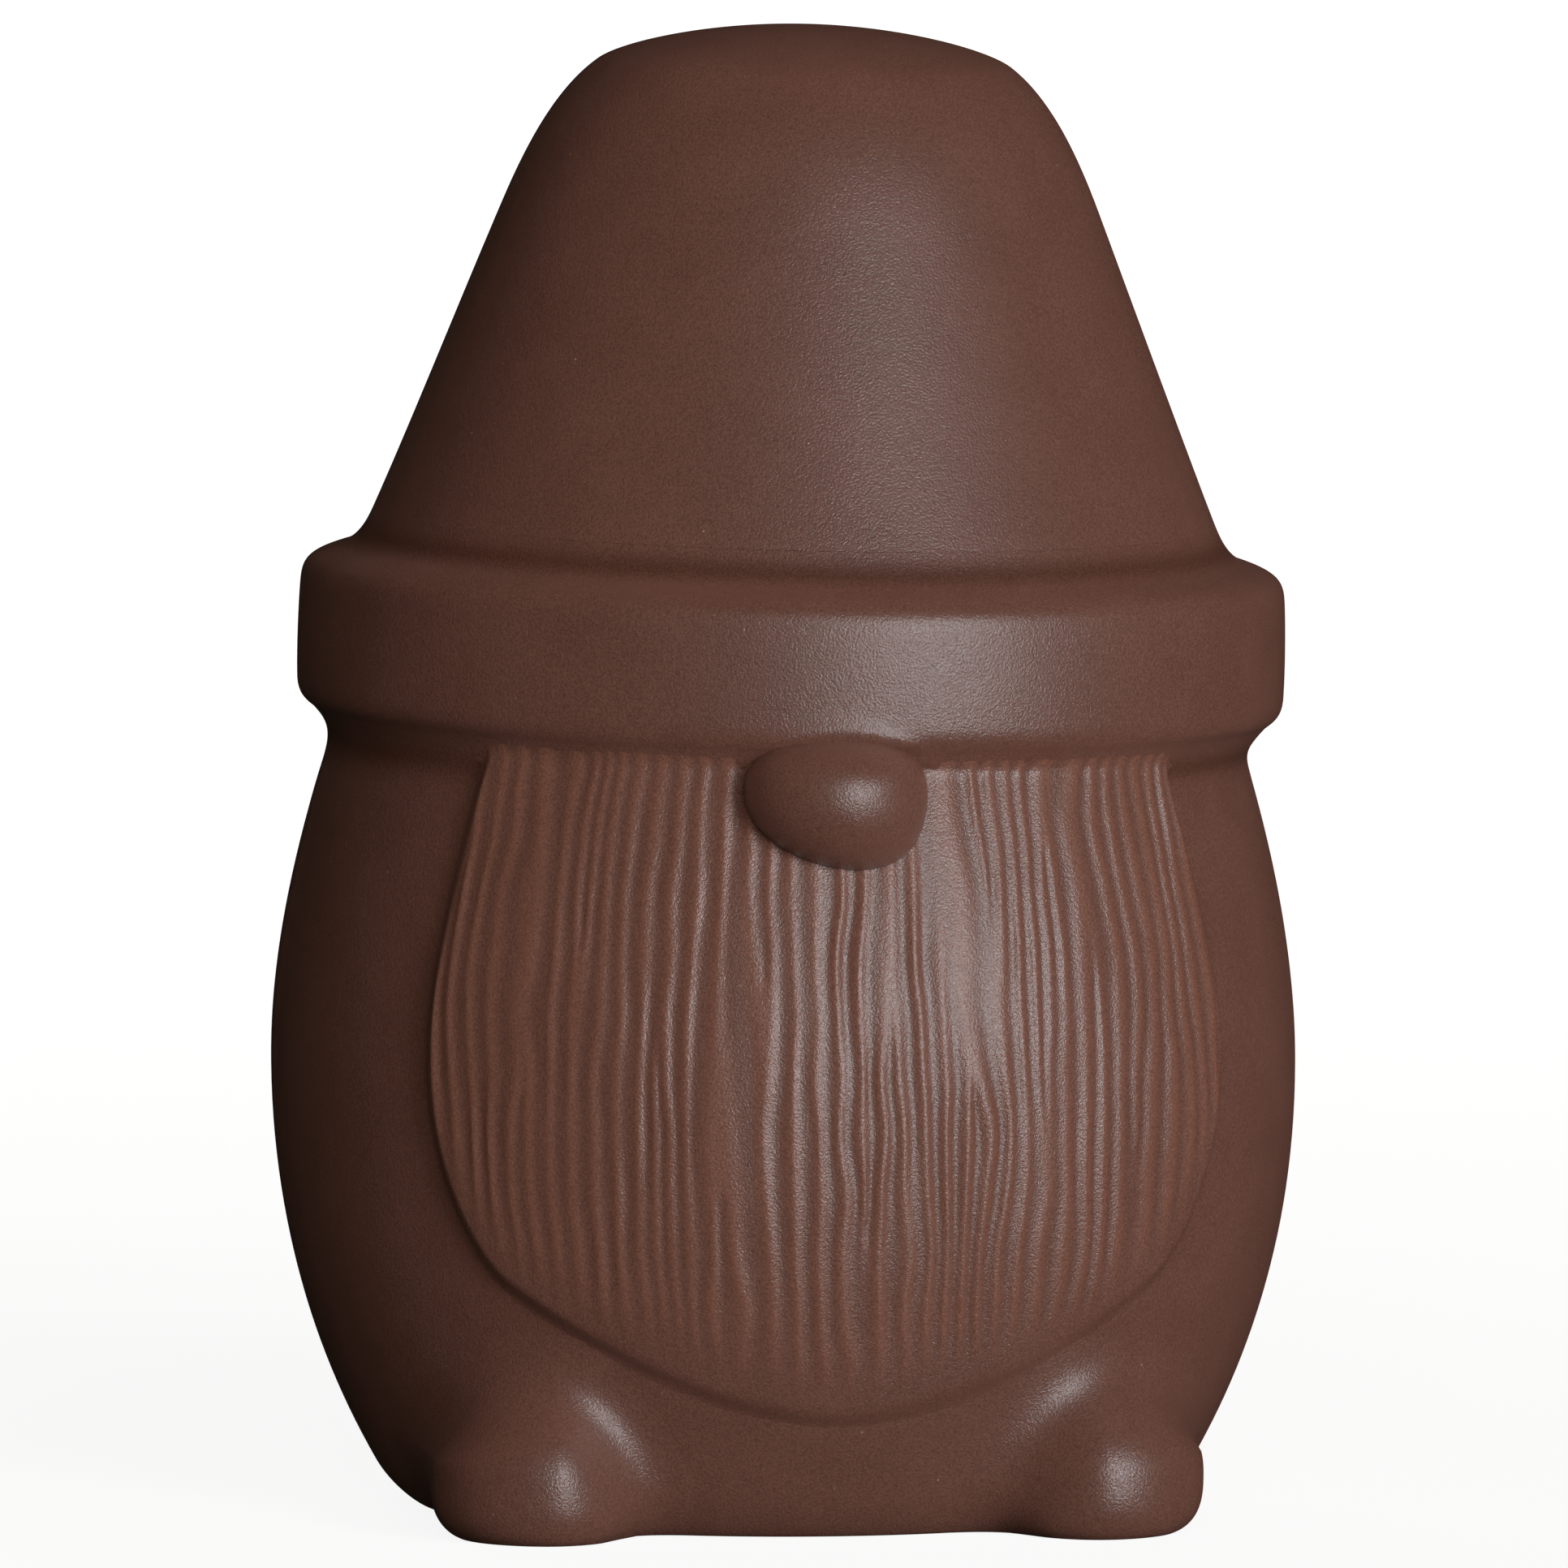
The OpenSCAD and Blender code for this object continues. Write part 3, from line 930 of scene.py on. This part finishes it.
@dataclass
class Foot:
    """One round foot, with the fillet that joins it to the body.

    Attributes:
        form: The figure's shared form.
        glaze: The glaze.
        clay: The bare clay of its sole.
        node: The CAD node.
        middle: X and forward distance of the widest place of its plan.
        outer: Its width from there to its outer side.
        inner: Its width from there to its inner side.
        taper: Share by which each side narrows with each millimetre of height.
        toe: Its length ahead of the widest place.
        heel: Its length behind it, under the body.
        wide_z: Height where it is widest.
        rise: Height of its top above that.
        drop: Depth below that at which its lower edge would close.
        crown: How square its upper side is: 2 is round.
        ridge: How square the plan of its front is, which comes to a soft ridge below 2.
        edge: How square its lower edge is.
        edge_r: Width of its lower edge.
        fillet: Reach of the fillet into the body.
        high: Height of the sheet of clay, and how far out from the body the foot is looked for.
        half_angle: Half the angle that the sheet spans.
        hidden_r: Radius that the sole runs in to, behind the foot ring's edge.
        sheet: Thickness of the sheet.
        columns: Vertices across it.
        rows: Vertices up it, with those of the sole.
        sole_rows: Rows of vertices in the sole.
    """

    form: Form
    glaze: Material
    clay: Material
    node: str
    middle: Point
    outer: float = 11.2
    inner: float = 9.6
    taper: float = 0.035
    toe: float = 12.5
    heel: float = 22.0
    wide_z: float = 6.0
    rise: float = 8.6
    drop: float = 6.4
    crown: float = 2.2
    ridge: float = 1.9
    edge: float = 2.8
    edge_r: float = 6.0
    fillet: float = 8.0
    high: float = 24.0
    half_angle: float = 31.0
    hidden_r: float = 33.0
    sheet: float = 1.6
    columns: int = 261
    rows: int = 84
    sole_rows: int = 6

    @classmethod
    def from_frame(cls, form: Form, glaze: Material, clay: Material, node: str) -> "Foot":
        """Reads the foot's place off its CAD node."""
        low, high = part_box(node)
        outer = low.x if low.x < 0 else high.x
        x = outer / MM - math.copysign(cls.outer - 0.2, outer)
        return cls(form, glaze, clay, node, (x, -low.y / MM - 3.4 - cls.toe))

    def distance(self, x: Array, forward: Array, z: Array) -> Array:
        """Distance outside the foot, in millimetres, nearly: a long dome above, a rounded edge below."""
        dx, dy, dz = x - self.middle[0], forward - self.middle[1], z - self.wide_z
        outer = self.outer * (1 - self.taper * np.maximum(z - 8.0, 0.0))
        inner = self.inner * (1 - self.taper * (z - 3.0))
        a = np.maximum(np.where(dx * self.middle[0] > 0, outer, inner), 3.0)
        b = np.where(dy > 0, self.toe, self.heel)
        m = np.where(dy < 0, 2.0, self.ridge)
        side, front = np.abs(dx / a), np.abs(dy / b)
        plan = np.maximum((side**m + front**m) ** (1 / m), 1e-6)
        plan_slope = np.hypot(side ** (m - 1) / a, front ** (m - 1) / b) / plan ** (m - 1)
        n = self.crown
        up = np.maximum(dz, 0.0) / self.rise
        whole = (plan**n + up**n) ** (1 / n)
        slope = np.hypot(plan ** (n - 1) * plan_slope, up ** (n - 1) / self.rise)
        slope = slope / np.maximum(whole, 1e-6) ** (n - 1)
        dome = (whole - 1.0) / np.maximum(slope, 1e-3)
        inset = np.clip(1.0 + (plan - 1.0) / np.maximum(plan_slope, 1e-2) / self.edge_r, 0.0, None)
        under = (inset**self.edge + np.abs(dz / self.drop) ** self.edge) ** (1 / self.edge)
        return np.where(dz > 0, dome, (under - 1.0) * self.edge_r)

    def reach(self, phi: Array, z: Array) -> Array:
        """Outermost radius of body and foot together, along each angle and height."""
        body = self.form.body_radius(z)
        a = np.radians(phi)
        steps = np.linspace(self.high, 0.0, 193)
        fillet = self.fillet * (0.7 + 0.3 * smooth_step(0.0, 6.0, z))
        radius, before = np.full(phi.shape, np.nan), None
        for step in steps:
            r = body - 1.0 + step
            field = soft_min((r - body) * 0.93, self.distance(r * np.sin(a), r * np.cos(a), z), fillet)
            if before is not None:
                hit = (field <= 0) & np.isnan(radius)
                share = before[0] / np.maximum(before[0] - field, 1e-9)
                radius[hit] = (before[1] + share * (r - before[1]))[hit]
            before = (field, r)
        return np.where(np.isnan(radius), body, radius)

    def build(self) -> Piece:
        """Models the foot as a sheet over the body's flank, and closes it inside the clay."""
        turn = math.degrees(math.atan2(self.middle[0], self.middle[1]))
        span = np.linspace(-self.half_angle, self.half_angle, self.columns)
        phi = turn + span + 4.0 * math.copysign(1, turn)
        z = np.r_[np.zeros(self.sole_rows), self.high * np.linspace(0, 1, self.rows - self.sole_rows) ** 1.25]
        phi, z = np.meshgrid(phi, z)
        radius = self.reach(phi, z)
        body = self.form.body_radius(z)
        stands = radius - body
        share = np.linspace(0.0, 1.0, self.sole_rows + 1)[:-1]
        radius[: self.sole_rows] = self.hidden_r + (radius[self.sole_rows] - self.hidden_r) * share[:, None]
        radius[self.sole_rows :] -= 0.035 * (1 - smooth_step(0.0, 0.25, stands[self.sole_rows :]))
        piece = sheet_of_clay(self.node + "_glazed", self.columns, self.rows)
        place_vertices(piece, self.form.settle(round_axis(radius, phi, z)))
        clear = stands > 0.004
        sole = (np.arange(self.rows)[:, None] <= self.sole_rows) & clear[self.sole_rows][None, :]
        self.trim(piece, clear | sole)
        apply_modifier(piece, "SOLIDIFY", thickness=self.sheet * MM, offset=-1.0)
        surface(piece, self.glaze, 60)
        bare_below(piece, self.clay)
        return hand_over(piece, self.node)

    def trim(self, piece: Piece, keep: Array) -> None:
        """Deletes the vertices of the sheet that the foot doesn't reach."""
        grown = keep.copy()
        for _ in range(3):
            keep = grown.copy()
            grown[1:] |= keep[:-1]
            grown[:-1] |= keep[1:]
            grown[:, 1:] |= keep[:, :-1]
            grown[:, :-1] |= keep[:, 1:]
        select_only(piece)
        bpy.ops.object.mode_set(mode="EDIT")
        bpy.ops.mesh.select_mode(type="VERT")
        bpy.ops.mesh.select_all(action="DESELECT")
        bpy.ops.object.mode_set(mode="OBJECT")
        piece.data.vertices.foreach_set("select", ~grown.ravel())
        bpy.ops.object.mode_set(mode="EDIT")
        bpy.ops.mesh.delete(type="VERT")
        bpy.ops.mesh.select_all(action="SELECT")
        bpy.ops.mesh.normals_make_consistent(inside=False)
        bpy.ops.object.mode_set(mode="OBJECT")


@dataclass
class BasePlate:
    """The flanged disc that closes the floor, with the vent hole.

    Attributes:
        clay: The bare clay.
        bevel: Rounding of its edges.
    """

    clay: Material
    bevel: float = 0.5

    def build(self) -> Piece:
        """Turns the disc to the size of the CAD's."""
        low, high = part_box("base_plate")
        bottom, top, flange = low.z / MM, high.z / MM, high.x / MM
        plug, vent, floor = flange - 3.0, 6.0, 4.0
        b = self.bevel
        outline = [
            (vent, top - b), (vent, bottom + b), (vent + b, bottom), (plug - 0.9, bottom),
            (plug - 0.25, bottom + 0.5), (plug - 0.02, bottom + 1.0), (plug - 0.02, floor), (flange - b, floor),
            (flange, floor + b), (flange, top - b), (flange - b, top), (vent + b, top), (vent, top - b),
        ]
        piece = lathe("base_plate_clay", outline, 128)
        surface(piece, self.clay, 40)
        return hand_over(piece, "base_plate")


# -------- the studio


@dataclass
class Studio:
    """A pale floor, a soft key from the right, a weak fill before and behind, and the camera.

    Attributes:
        azimuth: Where the camera stands, in degrees from the front towards the viewer's right.
        elevation: Its height, in degrees.
        distance: Its distance, in millimetres.
        aim_z: Height that it looks at.
        width: Width of what it sees at the figure.
        sensor: Width of its sensor.
        lit_z: Height that the lamps face.
        floor_r: Radius of the floor.
        paper: Colour of the floor.
        ambient: Colour of the little light that the white surroundings give.
        ambient_power: Strength of that light.
    """

    azimuth: float = -7.0
    elevation: float = 5.0
    distance: float = 6000.0
    aim_z: float = 73.1
    width: float = 159.1
    sensor: float = 36.0
    lit_z: float = 80.0
    floor_r: float = 6000.0
    paper: str = "#6a6a6a"
    ambient: tuple[float, float, float, float] = (1.0, 0.78, 0.58, 1.0)
    ambient_power: float = 0.008

    def direction(self, azimuth: float, elevation: float) -> Vector:
        """Unit vector from the figure towards a place in the studio."""
        a, e = math.radians(azimuth), math.radians(elevation)
        return Vector((math.sin(a) * math.cos(e), -math.cos(a) * math.cos(e), math.sin(e)))

    def camera(self) -> None:
        """Stands the camera on its tripod, with a long lens."""
        deselect_all()
        towards = self.direction(self.azimuth, self.elevation)
        target = Vector((0, 0, self.aim_z * MM))
        bpy.ops.object.camera_add(location=target + towards * self.distance * MM)
        camera = bpy.context.object
        camera.rotation_euler = (-towards).to_track_quat("-Z", "Y").to_euler()
        camera.data.sensor_width = self.sensor
        camera.data.lens = self.sensor * self.distance / self.width
        camera.data.clip_end = 50.0
        bpy.context.scene.camera = camera

    def lamp(
        self, name: str, azimuth: float, elevation: float, distance: float, size: float, power: float, tint: str
    ) -> Piece:
        """Hangs one soft box that faces the figure.

        Args:
            name: Its name.
            azimuth: Degrees from the front towards the viewer's right.
            elevation: Degrees above the table.
            distance: Metres from the figure.
            size: Side of the soft box, in metres.
            power: Watts.
            tint: Colour of its light.

        Returns:
            The lamp.
        """
        deselect_all()
        towards = self.direction(azimuth, elevation)
        target = Vector((0, 0, self.lit_z * MM))
        bpy.ops.object.light_add(type="AREA", location=target + towards * distance)
        light = bpy.context.object
        light.name = name
        light.rotation_euler = (-towards).to_track_quat("-Z", "Y").to_euler()
        light.data.shape = "SQUARE"
        light.data.size = size
        light.data.energy = power
        light.data.color = linear(tint)[:3]
        return light

    def floor(self) -> None:
        """Lays the pale paper that the figure stands on. It doesn't light the figure, whose far side stays dark."""
        deselect_all()
        bpy.ops.mesh.primitive_circle_add(vertices=96, radius=self.floor_r * MM, fill_type="NGON")
        floor = bpy.context.object
        floor.name = "floor"
        material = bpy.data.materials.new("pale_studio_paper")
        t = NodeTree(material)
        place = t.add("ShaderNodeTexCoord").outputs["Object"]
        away = t.add("ShaderNodeVectorMath", {0: place}, operation="LENGTH").outputs["Value"]
        glow = t.add("ShaderNodeMapRange", {"Value": away}, From_Min=0.1, From_Max=0.9, To_Min=0.9, To_Max=1.0)
        shader = t.add(
            "ShaderNodeBsdfPrincipled", {"Emission Strength": glow}, Base_Color=linear(self.paper),
            Roughness=0.9, Specular_IOR_Level=0.0, Emission_Color=(1, 1, 1, 1),
        )
        t.add("ShaderNodeOutputMaterial", {"Surface": shader})
        floor.data.materials.append(material)
        floor.visible_diffuse = False
        floor.visible_glossy = False

    def air(self) -> None:
        """White all round to the eye, but with little light of its own."""
        world = bpy.data.worlds.new("studio_white")
        bpy.context.scene.world = world
        t = NodeTree(world)
        path = t.add("ShaderNodeLightPath")
        seen = t.add("ShaderNodeBackground", Color=(1, 1, 1, 1))
        dim = t.add("ShaderNodeBackground", Color=self.ambient, Strength=self.ambient_power)
        mix = t.add("ShaderNodeMixShader", {0: path.outputs["Is Camera Ray"], 1: dim, 2: seen})
        t.add("ShaderNodeOutputWorld", {"Surface": mix})

    def build(self) -> None:
        """Sets up the whole studio."""
        self.camera()
        self.floor()
        self.air()
        key = self.lamp("key_soft_box", self.azimuth + 33.0, 4.0, 1.6, 0.45, 25.0, "#fbfcff")
        key.data.shape, key.data.size_y = "RECTANGLE", 1.0
        bounce = self.lamp("front_bounce", self.azimuth + 11.0, 13.0, 2.6, 1.8, 52.0, "#fff8f0")
        behind = self.lamp("back_fill", self.azimuth + 186.0, 6.0, 2.6, 2.2, 60.0, "#fff8f0")
        bounce.visible_glossy = behind.visible_glossy = False
        bpy.context.scene.view_settings.view_transform = "Standard"


def main() -> None:
    """Builds the studio and every piece, in the order in which the figurine is put together."""
    logging.basicConfig(level=logging.INFO, format="%(message)s")
    form = Form.from_frame()
    glaze, clay = SatinGlaze().build(), BareClay().build()
    Studio().build()
    nose = Nose.from_frame(glaze)
    hat = Hat(form, glaze)
    hat.crown()
    hat.brim(nose)
    Body(form, glaze, clay).build()
    Beard(form, glaze).build()
    nose.egg()
    for node in ("left_foot", "right_foot"):
        Foot.from_frame(form, glaze, clay, node).build()
    BasePlate(clay).build()


if __name__ == "__main__":
    main()
